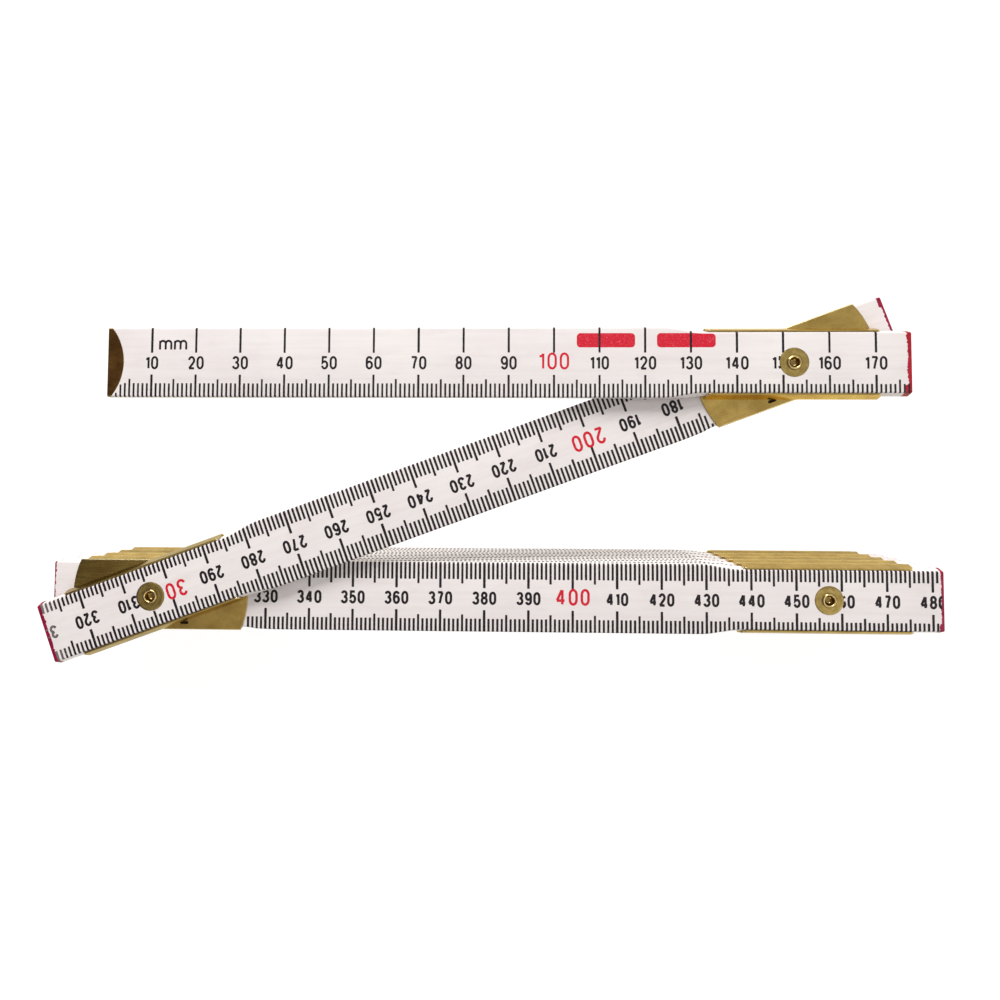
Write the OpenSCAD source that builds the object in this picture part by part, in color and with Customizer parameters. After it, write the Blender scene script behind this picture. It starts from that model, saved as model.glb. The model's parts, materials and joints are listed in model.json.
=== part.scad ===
// Twelve-section wooden folding rule, in millimetres, +Z up.
// Origin: middle of the last section's butt end, on the rule's underside.
// Section 12 lies at the bottom, section 1 on top, each one layer above the next.

/* [Sections] */
// Distance between neighbouring joints
joint_step = 152.4; // [120:0.1:200]
// Length of wood beyond a section's joint with the section before it
start_overhang = 24.2; // [22:0.1:32]
// Length of wood beyond a section's joint with the section after it
end_overhang = 25.3; // [22:0.1:32]
// Width of the wooden sections
wood_w = 15.6; // [14:0.1:18]
// Thickness of the wooden sections
wood_t = 2.4; // [2.2:0.05:3]
// Height from one section to the next in the folded stack
layer_pitch = 3.1; // [3.1:0.05:4]
// Radius of the wood's long edges
wood_edge_r = 0.4; // [0.2:0.05:0.6]

/* [Rest pose] */
// Angle the second section is swung open from the stack
swing_2 = 20.2; // [0:0.01:90]
// Angle the first section is swung back towards the stack
swing_1 = 20.2; // [0:0.01:90]

/* [Strike plates] */
// Width of a strike plate over its folded edges
plate_w = 15.9; // [15.9:0.1:18.5]
// Sheet thickness of a strike plate
plate_t = 0.33; // [0.25:0.01:0.34]
// Reach from the joint of both ends of the plate under a section
under_plate_r = 20.5; // [18:0.1:21.5]
// Reach from the joint of the plate on top of a section, towards the section's end
over_plate_tip_r = 19.4; // [18:0.1:21.5]
// Reach from the joint of the plate on top of a section, towards its middle
over_plate_mid_r = 21.1; // [18:0.1:21.5]
// Height of a plate's folded edge below the wood face it lies on
flange_h = 2.25; // [1:0.05:2.3]
// Radius of the folded edge's free corners
flange_corner_r = 0.9; // [0.2:0.1:1.5]
// Inward lean of the folded edge, sideways per unit of height
flange_lean = 0.35; // [0.2:0.01:0.45]
// Length of the detent slot
slot_l = 1.9; // [1:0.1:3]
// Width of the detent slot
slot_w = 0.7; // [0.4:0.05:1]
// Distance of the detent slots from the joint axis
slot_r = 9.1; // [7:0.1:10]
// Angle of the detent slots to either side of the section's middle line
slot_angle = 44; // [35:1:60]

/* [Rivets and washers] */
// Outside diameter of the rivet shank
shank_d = 2.66; // [2.4:0.02:3]
// Bore of the rolled end of the rivet
cup_d = 2.16; // [1.6:0.02:2.2]
// Depth of that bore
cup_depth = 1.4; // [1:0.1:4]
// Thickness of the metal rolled over at the rivet's end
roll_d = 0.46; // [0.3:0.02:0.5]
// Diameter of the rivet's flat head
head_d = 4.2; // [3.5:0.1:5]
// Thickness of the flat head
head_t = 0.25; // [0.2:0.01:0.4]
// Outside diameter of a washer
washer_d = 6.35; // [5:0.05:8]
// Thickness of a washer
washer_t = 0.4; // [0.3:0.02:0.5]
// Running clearance round the shank, on the radius
run_gap = 0.05; // [0.02:0.01:0.1]
// Outside diameter of the dished spring inside each joint
spring_d = 9.4; // [7:0.1:11]

/* [End tips] */
// How far the brass end tip reaches along the middle of the section's faces
tip_reach = 3.6; // [2.5:0.1:6]
// How far the end tip reaches along the section's edges
tip_side = 0.8; // [0.4:0.1:1.5]
// Sheet thickness of the end tips
tip_t = 0.3; // [0.2:0.02:0.4]

/* [Hidden] */
$fn = 48;
sections = 12;
// bedding gap between a metal part and the wood it is pressed against
bed = 0.01;
fit_gap = 0.02;
half_wood = wood_w / 2;
half_plate = plate_w / 2;
cutter_reach = 30;
// plan curve where the edge cutter leaves the wood, just past the longest folded edge
longest_plate_r = max(under_plate_r, over_plate_mid_r);
runout_start = sqrt(longest_plate_r * longest_plate_r - half_plate * half_plate) + 0.1;
runout_len = 9;
runout_steps = 12;
fold_r = 0.3;
fold_steps = 4;
shank_r = shank_d / 2;
cup_r = cup_d / 2;
washer_proud = 0.05;
spring_t = 0.2;
spring_rise = 0.35;
spring_bore_r = shank_r + 0.3;
spring_pocket_d = spring_d + 0.4;
spring_pocket_h = spring_t + spring_rise + 0.06;
pin_d = 0.7;
// distance from the tip's rounded edge to its pin
pin_inset = 0.65;
// the rounded edge of a tip rises from tip_side to tip_reach over half the width
tip_rise = tip_reach - tip_side;
tip_arc_r = (half_wood * half_wood + tip_rise * tip_rise) / (2 * tip_rise);
// lean angle of the folded edges and of the wood they grip
lean_deg = atan(flange_lean);
// half width of the planed wood at the face under the plate
grip_half = half_plate - flange_lean * plate_t - plate_t / cos(lean_deg) - 0.03;

// height of the underside of section k
function layer_z(k) = (sections - k) * layer_pitch;

// Puts a section's own frame at its place in the rest pose. In that frame x runs along
// the graduations from the section's first joint (x = 0), and z = 0 is its underside.
module at_section(k) {
  joint_1_x = joint_step * cos(swing_2);
  joint_1_y = joint_step * sin(swing_2);
  translate([0, 0, layer_z(k)])
    if (k == 1)
      translate([joint_1_x, joint_1_y, 0])
        rotate([0, 0, swing_2 - swing_1])
          translate([-joint_step, 0, 0])
            children();
    else
      rotate([0, 0, k == 2 ? swing_2 : 0])
        translate([k % 2 == 0 ? joint_step : 0, 0, 0])
          rotate([0, 0, k % 2 == 0 ? 180 : 0])
            children();
}

// cross section of the wood, standing in the YZ plane once extruded
module wood_profile() {
  square([wood_w - 2 * wood_edge_r, wood_t], center = true);
  square([wood_w, wood_t - 2 * wood_edge_r], center = true);
  for (sy = [-1, 1])
    for (sz = [-1, 1])
      translate([sy * (half_wood - wood_edge_r), sz * (wood_t / 2 - wood_edge_r)])
        circle(wood_edge_r);
}

// bar of wood from x = a to x = b
module wood_bar(a, b) {
  translate([a, 0, wood_t / 2])
    rotate([90, 0, 90])
      linear_extrude(b - a)
        wood_profile();
}

// How far the planed edge stands in at a distance s along its run-out: an S curve from
// the full depth to nothing.
function runout(s, depth) = depth * (1 + cos(180 * s / runout_len)) / 2;

// Plan of the wood an edge cutter takes away: y = 0 is the planed line at the face under
// the plate, x is measured from the joint towards the middle of the section.
module edge_cut_plan(depth) {
  polygon(concat(
    [[-cutter_reach, cutter_reach], [-cutter_reach, 0]],
    [for (i = [0:runout_steps])
      let (s = i * runout_len / runout_steps)
      [runout_start + s, depth - runout(s, depth)]],
    [[runout_start + runout_len, cutter_reach]]
  ));
}

// Both edge cuts of a joint end. The plate lies on the z = 0 face and the cuts lean inward
// as they go down from it.
module edge_cuts() {
  depth = half_wood + flange_lean * wood_t - grip_half;
  for (side = [0, 1])
    mirror([0, side, 0])
      translate([0, grip_half, 0])
        rotate([-lean_deg, 0, 0])
          translate([0, 0, -2 * wood_t])
            linear_extrude(4 * wood_t)
              edge_cut_plan(depth * cos(lean_deg));
}

// Shape of the recess for a round part of diameter d, cut h deep into the face at z
module round_pocket(d, z, h) {
  translate([0, 0, z - h])
    cylinder(d = d, h = h + 1, $fn = 96);
}

// Cuts at the end where this section lies over the next one (plate underneath)
module upper_member_cuts() {
  mirror([0, 0, 1])
    edge_cuts();
  round_pocket(washer_d + 0.1, wood_t, washer_t - washer_proud);
  translate([0, 0, -1])
    cylinder(r = shank_r + run_gap, h = wood_t + 2);
  mirror([0, 0, 1])
    round_pocket(spring_pocket_d, 0, spring_pocket_h);
}

// Cuts at the end where this section lies under the one before (plate on top)
module lower_member_cuts() {
  translate([0, 0, wood_t])
    edge_cuts();
  mirror([0, 0, 1])
    round_pocket(washer_d + 0.1, 0, washer_t + head_t + fit_gap);
  translate([0, 0, -1])
    cylinder(r = shank_r + fit_gap, h = wood_t + 2);
}

// A segment with one rounded edge, for the tips and their recesses
module tip_plan(extra) {
  intersection() {
    translate([-0.5, -half_wood - 1])
      square([tip_reach + 0.5 + extra, wood_w + 2]);
    translate([tip_reach - tip_arc_r, 0])
      circle(tip_arc_r + extra, $fn = 96);
  }
}

// Recess for a tip at x = 0, opening towards -x
module tip_recess() {
  for (z = [-1, wood_t - tip_t - bed])
    translate([0, 0, z])
      linear_extrude(1 + tip_t + bed)
        tip_plan(fit_gap);
  translate([-1, -wood_w, -1])
    cube([1 + tip_t + bed, 2 * wood_w, wood_t + 2]);
  translate([tip_reach - pin_inset, 0, -1])
    cylinder(d = pin_d + 2 * fit_gap, h = wood_t + 2);
}

module section(k) {
  first = k == 1;
  last = k == sections;
  color([0.94, 0.91, 0.89])
    at_section(k)
      difference() {
        wood_bar(first ? 0 : -start_overhang, last ? joint_step : joint_step + end_overhang);
        if (!first)
          lower_member_cuts();
        if (!last)
          translate([joint_step, 0, 0])
            mirror([1, 0, 0])
              upper_member_cuts();
        if (first)
          tip_recess();
        if (last)
          translate([joint_step, 0, 0])
            mirror([1, 0, 0])
              tip_recess();
      }
}

// Cross section of a strike plate lying on the z = 0 face, folded edges going down
module plate_profile() {
  inner = plate_t / cos(lean_deg);
  low_z = -flange_h;
  corner_y = half_plate - fold_r;
  corner_z = plate_t - fold_r;
  low_y = half_plate + flange_lean * low_z;
  right = concat(
    [for (i = [0:fold_steps])
      let (a = 90 - i * (90 - lean_deg) / fold_steps)
      [corner_y + fold_r * cos(a), corner_z + fold_r * sin(a)]],
    [[low_y - 0.02, low_z], [low_y - inner, low_z],
     [half_plate - inner - flange_lean * plate_t, bed]]
  );
  left = [for (i = [len(right) - 1:-1:0]) [-right[i][0], right[i][1]]];
  polygon(concat(right, left));
}

// What is cut from one end of a strike plate: outside its arc, and outside the rounded
// free corner of each folded edge. The end is towards +x.
module plate_end_cut(end_r) {
  edge_x = sqrt(end_r * end_r - half_plate * half_plate);
  translate([0, 0, bed / 2])
    linear_extrude(1)
      difference() {
        translate([0, -plate_w])
          square([2 * end_r, 2 * plate_w]);
        circle(end_r, $fn = 180);
      }
  rotate([90, 0, 0])
    linear_extrude(2 * plate_w, center = true) {
      translate([edge_x, -flange_h - 1])
        square([end_r, flange_h + 1 + bed]);
      difference() {
        translate([edge_x - flange_corner_r, -flange_h - 1])
          square([2 * flange_corner_r, 1 + flange_corner_r]);
        translate([edge_x - flange_corner_r, flange_corner_r - flange_h])
          circle(flange_corner_r);
      }
    }
}

// One strike plate on the z = 0 face, with its folded edges down. It reaches tip_r from the
// joint towards the section's end (-x) and mid_r towards its middle (+x).
module strike_plate(hole_r, tip_r, mid_r) {
  difference() {
    rotate([90, 0, 90])
      translate([0, 0, -tip_r])
        linear_extrude(tip_r + mid_r)
          plate_profile();
    plate_end_cut(mid_r);
    mirror([1, 0, 0])
      plate_end_cut(tip_r);
    translate([0, 0, -1])
      cylinder(r = hole_r, h = 3);
    for (side = [-1, 1])
      translate([slot_r * cos(slot_angle), side * slot_r * sin(slot_angle), -1])
        detent_slot();
  }
}

// An oblong slot along x
module detent_slot() {
  straight = slot_l - slot_w;
  translate([-straight / 2, -slot_w / 2, 0])
    cube([straight, slot_w, 3]);
  for (side = [-1, 1])
    translate([side * straight / 2, 0, 0])
      cylinder(d = slot_w, h = 3);
}

module strike_plates(k) {
  color([0.66, 0.55, 0.28])
    at_section(k) {
      if (k > 1)
        translate([0, 0, wood_t])
          strike_plate(shank_r + fit_gap, over_plate_tip_r, over_plate_mid_r);
      if (k < sections)
        translate([joint_step, 0, 0])
          rotate([0, 180, 0])
            strike_plate(shank_r + run_gap, under_plate_r, under_plate_r);
    }
}

module ring(outer_r, inner_r, z, h) {
  rotate_extrude($fn = 96)
    translate([inner_r, z])
      square([outer_r - inner_r, h]);
}

// A washer under the flat head of the rivet before this section, and one under the rolled
// end of the rivet after it
module washers(k) {
  color([0.60, 0.52, 0.27])
    at_section(k) {
      if (k > 1)
        ring(washer_d / 2, shank_r + fit_gap, head_t + fit_gap, washer_t);
      if (k < sections)
        translate([joint_step, 0, 0])
          ring(washer_d / 2, shank_r + run_gap, wood_t + washer_proud - washer_t, washer_t);
    }
}

// Half outline of a tubular rivet, z = 0 at the underside of the lower section
module rivet_outline() {
  roll_z = layer_pitch + wood_t + washer_proud + fit_gap;
  roll_mid_r = cup_r + roll_d / 2;
  top_z = roll_z + 0.07;
  difference() {
    union() {
      square([head_d / 2, head_t]);
      square([shank_r, top_z]);
      translate([roll_mid_r, top_z])
        intersection() {
          circle(d = roll_d);
          translate([-roll_d, -0.07])
            square(2 * roll_d);
        }
    }
    translate([0, top_z - cup_depth])
      square([cup_r, cup_depth + 1]);
  }
}

// The rivet that joins section k to the next, held in the next one
module rivet(k) {
  color([0.72, 0.60, 0.30])
    at_section(k + 1)
      rotate_extrude($fn = 96)
        rivet_outline();
}

// A dished spring between the wood of section k and its strike plate
module spring(k) {
  outer = spring_d / 2;
  color([0.45, 0.45, 0.47])
    at_section(k)
      translate([joint_step, 0, 0.02])
        rotate_extrude($fn = 96)
          polygon([
            [spring_bore_r, spring_rise], [outer, 0], [outer, spring_t],
            [spring_bore_r, spring_rise + spring_t]
          ]);
}

// Folded brass tip at x = 0: two rounded faces, the end wall and the pin between them
module tip() {
  intersection() {
    union() {
      for (z = [0, wood_t - tip_t])
        translate([0, 0, z])
          linear_extrude(tip_t)
            tip_plan(0);
      translate([0, -half_wood, 0])
        cube([tip_t, wood_w, wood_t]);
      translate([tip_reach - pin_inset, 0, 0])
        cylinder(d = pin_d, h = wood_t);
    }
    wood_bar(0, tip_reach + 1);
  }
}

module zero_tip() {
  color([0.42, 0.30, 0.12])
    at_section(1)
      tip();
}

module last_tip() {
  color([0.42, 0.30, 0.12])
    at_section(sections)
      translate([joint_step, 0, 0])
        mirror([1, 0, 0])
          tip();
}

section(1);  // section_01
section(2);  // section_02
section(3);  // section_03
section(4);  // section_04
section(5);  // section_05
section(6);  // section_06
section(7);  // section_07
section(8);  // section_08
section(9);  // section_09
section(10);  // section_10
section(11);  // section_11
section(12);  // section_12
strike_plates(1);  // strike_plates_01
strike_plates(2);  // strike_plates_02
strike_plates(3);  // strike_plates_03
strike_plates(4);  // strike_plates_04
strike_plates(5);  // strike_plates_05
strike_plates(6);  // strike_plates_06
strike_plates(7);  // strike_plates_07
strike_plates(8);  // strike_plates_08
strike_plates(9);  // strike_plates_09
strike_plates(10);  // strike_plates_10
strike_plates(11);  // strike_plates_11
strike_plates(12);  // strike_plates_12
washers(1);  // washers_01
washers(2);  // washers_02
washers(3);  // washers_03
washers(4);  // washers_04
washers(5);  // washers_05
washers(6);  // washers_06
washers(7);  // washers_07
washers(8);  // washers_08
washers(9);  // washers_09
washers(10);  // washers_10
washers(11);  // washers_11
washers(12);  // washers_12
rivet(1);  // rivet_01
rivet(2);  // rivet_02
rivet(3);  // rivet_03
rivet(4);  // rivet_04
rivet(5);  // rivet_05
rivet(6);  // rivet_06
rivet(7);  // rivet_07
rivet(8);  // rivet_08
rivet(9);  // rivet_09
rivet(10);  // rivet_10
rivet(11);  // rivet_11
spring(1);  // spring_01
spring(2);  // spring_02
spring(3);  // spring_03
spring(4);  // spring_04
spring(5);  // spring_05
spring(6);  // spring_06
spring(7);  // spring_07
spring(8);  // spring_08
spring(9);  // spring_09
spring(10);  // spring_10
spring(11);  // spring_11
zero_tip();
last_tip();
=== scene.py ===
"""Looks of the folding rule: enamelled wood, printed scales, brass, stage and camera."""
import json
import math
import random

import bpy
import numpy as np
from mathutils import Matrix, Vector


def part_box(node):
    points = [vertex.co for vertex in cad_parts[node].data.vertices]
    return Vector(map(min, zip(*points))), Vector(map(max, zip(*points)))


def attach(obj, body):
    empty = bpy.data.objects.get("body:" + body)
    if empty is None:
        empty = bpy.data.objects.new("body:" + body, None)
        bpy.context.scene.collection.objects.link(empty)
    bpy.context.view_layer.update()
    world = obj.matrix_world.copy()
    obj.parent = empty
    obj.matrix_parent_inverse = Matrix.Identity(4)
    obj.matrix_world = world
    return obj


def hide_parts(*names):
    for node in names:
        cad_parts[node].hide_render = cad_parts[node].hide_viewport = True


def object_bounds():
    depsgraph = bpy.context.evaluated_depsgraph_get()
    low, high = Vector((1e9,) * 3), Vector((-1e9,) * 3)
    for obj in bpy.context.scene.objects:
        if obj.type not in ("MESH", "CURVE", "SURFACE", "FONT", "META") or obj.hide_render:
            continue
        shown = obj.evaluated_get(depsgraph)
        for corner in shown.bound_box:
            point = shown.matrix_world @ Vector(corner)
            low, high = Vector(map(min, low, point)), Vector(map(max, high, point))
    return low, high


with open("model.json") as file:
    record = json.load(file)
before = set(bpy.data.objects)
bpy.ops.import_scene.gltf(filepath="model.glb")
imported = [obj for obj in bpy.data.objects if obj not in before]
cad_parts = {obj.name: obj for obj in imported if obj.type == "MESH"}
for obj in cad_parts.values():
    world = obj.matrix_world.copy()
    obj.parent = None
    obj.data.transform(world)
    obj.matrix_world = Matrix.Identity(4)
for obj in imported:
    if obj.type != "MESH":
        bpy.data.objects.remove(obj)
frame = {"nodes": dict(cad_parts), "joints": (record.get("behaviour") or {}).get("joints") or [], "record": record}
CAD_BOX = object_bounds()

# ---------------------------------------------------------------- sizes, in millimetres
MM = 0.001
LEAVES = 12
JOINTS = {j["name"]: Vector(j["pos_m"]) for j in frame["joints"]}
MOUNTS = {m["name"]: m for m in frame["record"]["mounts"]}


def node_box(name):
    """Corners of a CAD node in millimetres."""
    low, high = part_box(name)
    return low / MM, high / MM


STEP = (JOINTS["fold_11_12"].x - MOUNTS["last_butt"]["pos_m"][0]) / MM
_last_low, _last_high = node_box("section_12")
_over_low, _over_high = node_box("strike_plates_12")     # one plate, on top of its section
_under_low, _under_high = node_box("strike_plates_01")   # one plate, under its section
_tip_low, _tip_high = node_box("zero_tip")
HALF_W = (_last_high.y - _last_low.y) / 2      # half width of the wood
THICK = _last_high.z - _last_low.z             # thickness of the wood
PITCH = node_box("section_11")[0].z - _last_low.z
START_OVER = _last_high.x - STEP               # wood beyond a section's first joint
END_OVER = node_box("section_11")[1].x - STEP  # wood beyond a section's second joint
HALF_PLATE = (_over_high.y - _over_low.y) / 2
PLATE_T = _over_high.z - _last_high.z          # sheet thickness
OVER_TIP = _over_high.x - STEP                 # reach of the plate on top of a section
OVER_MID = STEP - _over_low.x
UNDER_R = (_under_high.x - _under_low.x) / 2   # reach of the plate under a section
TIP_REACH = _tip_high.x - _tip_low.x
TIP_SIDE = 0.8                                 # reach of a tip along the section's edges
TIP_R = (HALF_W ** 2 + (TIP_REACH - TIP_SIDE) ** 2) / (2 * (TIP_REACH - TIP_SIDE))
TIP_T = 0.3
LEAN = 0.35                                    # lean of the planed edges
GRIP_GAP = 0.03                                # between a folded edge and the wood
GRIP_HALF = (HALF_PLATE - LEAN * PLATE_T
             - PLATE_T / math.cos(math.atan(LEAN)) - GRIP_GAP)
RUNOUT_FROM = math.sqrt(max(UNDER_R, OVER_MID) ** 2 - HALF_PLATE ** 2) + 0.1
RUNOUT_LEN = 9.0                               # where planed wood comes back to full width
EDGE_R = 0.4                                   # rounding of the wood's long edges
END_R = 0.25                                   # rounding of its ends
WASHER_R = 3.175
WASHER_T = 0.4
WASHER_PROUD = 0.05                            # how far a washer stands out of the wood
SHANK_R = 1.33
HEAD_R = 2.1
HEAD_T = 0.25
CUP_R = 1.08                                   # bore of a rivet
CUP_DEPTH = 1.4
ROLL_R = 0.23                                  # rounding of its rolled end
TURN_GAP = 0.05                                # round a washer or a shank
SEAT_GAP = 0.02                                # behind a head, a roll or a tip
SPRING_POCKET_R = 4.9
SPRING_POCKET_H = 0.61
INCH = 25.4


def name_of(kind, k):
    return f"{kind}_{k:02d}"


# ---------------------------------------------------------------- the frame of each section
def leaf_matrix(k):
    """Takes millimetres along the section (x from its first joint, y across, z up from its
    underside) to the row frame."""
    low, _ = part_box(name_of("section", k))
    if k == 1:
        start = Vector(MOUNTS["zero_butt"]["pos_m"])
    else:
        start = JOINTS[f"fold_{k - 1:02d}_{k:02d}"]
    if k == LEAVES:
        end = Vector(MOUNTS["last_butt"]["pos_m"])
    else:
        end = JOINTS[f"fold_{k:02d}_{k + 1:02d}"]
    u = Vector((end.x - start.x, end.y - start.y, 0)).normalized()
    v = Vector((-u.y, u.x, 0))
    m = Matrix.Identity(4)
    for row in range(3):
        m[row][0] = u[row] * MM
        m[row][1] = v[row] * MM
        m[row][2] = (0, 0, MM)[row]
        m[row][3] = (start.x, start.y, low.z)[row]
    return m


def span(k):
    """First and last x of the section's wood."""
    return (TIP_T if k == 1 else -START_OVER,
            STEP - TIP_T if k == LEAVES else STEP + END_OVER)


def planed(distance):
    """How far the planed edge stands out from its full depth, at a distance from the joint
    towards the middle of the section."""
    full = HALF_W + LEAN * THICK - GRIP_HALF
    s = min(max((distance - RUNOUT_FROM) / RUNOUT_LEN, 0.0), 1.0)
    return full * (1 - math.cos(math.pi * s)) / 2


def half_widths(k, x):
    """Half width of the wood at its top and at its underside."""
    top = low = HALF_W
    if k > 1:          # lower member of its first joint: plate on top, planed below
        off = planed(x)
        top = min(top, GRIP_HALF + off)
        low = min(low, GRIP_HALF - LEAN * THICK + off)
    if k < LEAVES:     # upper member of its second joint: plate below, planed above
        off = planed(STEP - x)
        top = min(top, GRIP_HALF - LEAN * THICK + off)
        low = min(low, GRIP_HALF + off)
    return top, low


# ---------------------------------------------------------------- mesh helpers
def add_object(name, data):
    """Puts a mesh, a light or a camera in the scene."""
    obj = bpy.data.objects.new(name, data)
    bpy.context.scene.collection.objects.link(obj)
    return obj


def section_mesh(name, pts, faces, k):
    """A mesh from points in section k's millimetre frame."""
    m = np.array(leaf_matrix(k))
    world = np.asarray(pts, float) @ m[:3, :3].T + m[:3, 3]
    mesh = bpy.data.meshes.new(name)
    mesh.from_pydata(world.tolist(), [], faces)
    return mesh


def store(mesh, name, values):
    """Keeps a number or a vector for each vertex, for the materials to read."""
    values = np.asarray(values, np.float32)
    kind, field = ("FLOAT", "value") if values.ndim == 1 else ("FLOAT_VECTOR", "vector")
    mesh.attributes.new(name, kind, "POINT").data.foreach_set(field, values.ravel())


def make_piece(name, verts, faces, k, material, smooth=True, holes=(), attributes=None):
    """Makes a piece from points in section k's millimetre frame; it rides on leaf k."""
    pts = np.array(verts, float)
    mesh = section_mesh(name, pts, faces, k)
    obj = add_object(name, mesh)
    if holes:
        cut(obj, k, holes)
        mesh = obj.data
        mesh.name = name
        pts = section_points(mesh, k)
    store_leaf_coordinates(mesh, pts, k)
    for key, values in (attributes or {}).items():
        store(mesh, key, values)
    mesh.materials.clear()
    mesh.materials.append(material)
    mesh.validate()
    if smooth:
        mesh.shade_smooth()
        mesh.set_sharp_from_angle(angle=math.radians(35))
    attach(obj, name_of("leaf", k))
    return obj


def store_leaf_coordinates(mesh, pts, k):
    """Keeps each vertex's place on its section, for textures that move with it, and its
    distance from an end where the print is rubbed away, which one section in four has."""
    store(mesh, "leaf", pts + np.array([STEP * 2 * k, 0, 0]))
    _, last = span(k)
    store(mesh, "to_end", last - pts[:, 0] if k % 4 == 2 else np.full(len(pts), STEP))


def section_points(mesh, k):
    """The mesh's vertices in section k's millimetre frame."""
    world = np.empty(len(mesh.vertices) * 3)
    mesh.vertices.foreach_get("co", world)
    back = np.array(leaf_matrix(k).inverted())
    return world.reshape(-1, 3) @ back[:3, :3].T + back[:3, 3]


def lathe(profile, x, segments=64):
    """Solid of revolution about a vertical axis at x; profile runs (radius, z) upwards."""
    angles = [2 * math.pi * i / segments for i in range(segments)]
    verts = [(x, 0, profile[0][1])]
    for r, z in profile:
        verts += [(x + r * math.cos(a), r * math.sin(a), z) for a in angles]
    verts.append((x, 0, profile[-1][1]))
    top = 1 + (len(profile) - 1) * segments
    faces = []
    for i in range(segments):
        n = (i + 1) % segments
        faces.append((0, 1 + n, 1 + i))
        for a in range(1, top, segments):
            b = a + segments
            faces.append((a + i, a + n, b + n, b + i))
        faces.append((len(verts) - 1, top + i, top + n))
    return verts, faces


def prism(outline, z0, z1):
    """Upright prism over a counter-clockwise outline."""
    n = len(outline)
    verts = [(x, y, z0) for x, y in outline] + [(x, y, z1) for x, y in outline]
    faces = [tuple(range(n))[::-1], tuple(range(n, 2 * n))]
    faces += [(i, (i + 1) % n, n + (i + 1) % n, n + i) for i in range(n)]
    return verts, faces


def cut(obj, k, solids):
    """Takes closed solids, given in section k's frame, out of a piece."""
    verts, faces = [], []
    for v, f in solids:
        faces += [tuple(i + len(verts) for i in face) for face in f]
        verts += v
    mesh = section_mesh("cutter", verts, faces, k)
    cutter = add_object("cutter", mesh)
    modifier = obj.modifiers.new("cut", "BOOLEAN")
    modifier.operation = "DIFFERENCE"
    modifier.solver = "EXACT"
    modifier.object = cutter
    depsgraph = bpy.context.evaluated_depsgraph_get()
    result = bpy.data.meshes.new_from_object(obj.evaluated_get(depsgraph))
    obj.modifiers.clear()
    old = obj.data
    obj.data = result
    bpy.data.meshes.remove(old)
    bpy.data.objects.remove(cutter)
    bpy.data.meshes.remove(mesh)


def ring_faces(rings, count):
    """Quads between successive rings of count points."""
    out = []
    for i in range(rings - 1):
        a, b = i * count, (i + 1) * count
        for j in range(count):
            n = (j + 1) % count
            out.append((a + j, a + n, b + n, b + j))
    return out


# ---------------------------------------------------------------- wooden sections
CORNER_STEPS = 6
END_STEPS = 4
STATION_STEP = 6.0             # between cross sections of plain wood
RUNOUT_STEP = 0.5              # between cross sections in a run-out


def wood_ring(top, low, shrink):
    """Cross section with rounded corners, as (y, z), counter-clockwise seen along +x."""
    pts = []
    t, b = top - shrink, low - shrink
    z0, z1 = shrink, THICK - shrink
    lean = math.atan2(b - t, z1 - z0)      # lean of the right side, inwards going up
    r = max(EDGE_R - shrink * 0.5, 0.1)

    def corner(cy, cz, a0, a1):
        for i in range(CORNER_STEPS + 1):
            a = a0 + (a1 - a0) * i / CORNER_STEPS
            pts.append((cy + r * math.cos(a), cz + r * math.sin(a)))

    half = math.pi / 2
    # centres sit so that the arcs touch the faces and the leaning sides
    cy_low = b - r / math.tan((half - lean) / 2)
    cy_top = t - r / math.tan((half + lean) / 2)
    corner(cy_low, z0 + r, -half, lean)
    corner(cy_top, z1 - r, lean, half)
    corner(-cy_top, z1 - r, half, math.pi - lean)
    corner(-cy_low, z0 + r, math.pi - lean, math.pi + half)
    return pts


def stations(k):
    """Where the cross sections of the wood stand: every few millimetres, close together in
    the run-outs, and either side of the corners of each plate."""
    a, b = span(k)
    first, last = a + END_R, b - END_R
    xs = list(np.arange(first, last, STATION_STEP))
    for joint_x, side, present, reach in ((0.0, 1, k > 1, OVER_TIP),
                                          (STEP, -1, k < LEAVES, UNDER_R)):
        if present:
            corner = math.sqrt(reach ** 2 - (GRIP_HALF - EDGE_R) ** 2)
            offsets = list(np.arange(RUNOUT_FROM - RUNOUT_STEP,
                                     RUNOUT_FROM + RUNOUT_LEN + 0.6, RUNOUT_STEP))
            xs += [joint_x + side * d for d in offsets + [-corner - 0.1, -corner + 0.1]]
    out = [first]
    closest = 0.05
    for x in sorted(xs):
        if out[-1] + closest < x < last - closest:
            out.append(float(x))
    return out + [last]


def tip_outline(grow=0.0):
    """Plan of a tip at x = 0: straight behind, one rounded edge towards +x."""
    r = TIP_R + grow
    out = HALF_W + 1
    reach = math.asin(out / r)
    arc_points = [(TIP_REACH - TIP_R + r * math.cos(a), r * math.sin(a))
                  for a in np.linspace(-reach, reach, 41)]
    return [(-1.0, out), (-1.0, -out)] + arc_points


def joint_holes(k):
    """Holes, recesses and pockets in the wood of section k, as cutting solids."""
    recess_r = WASHER_R + TURN_GAP
    solids = []
    if k > 1:
        held_r = SHANK_R + SEAT_GAP
        seat = WASHER_T + HEAD_T + SEAT_GAP
        solids.append(lathe([(recess_r, -1), (recess_r, seat), (held_r, seat),
                             (held_r, THICK + 1)], 0))
    if k < LEAVES:
        free_r = SHANK_R + TURN_GAP
        seat = THICK - WASHER_T + WASHER_PROUD
        solids.append(lathe([(SPRING_POCKET_R, -1), (SPRING_POCKET_R, SPRING_POCKET_H),
                             (free_r, SPRING_POCKET_H), (free_r, seat), (recess_r, seat),
                             (recess_r, THICK + 1)], STEP))
    if k in (1, LEAVES):
        outline = tip_outline(SEAT_GAP)
        if k == LEAVES:
            outline = [(STEP - x, y) for x, y in outline][::-1]
        depth = TIP_T + SEAT_GAP / 2
        solids.append(prism(outline, THICK - depth, THICK + 1))
        solids.append(prism(outline, -1, depth))
    return solids


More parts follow.
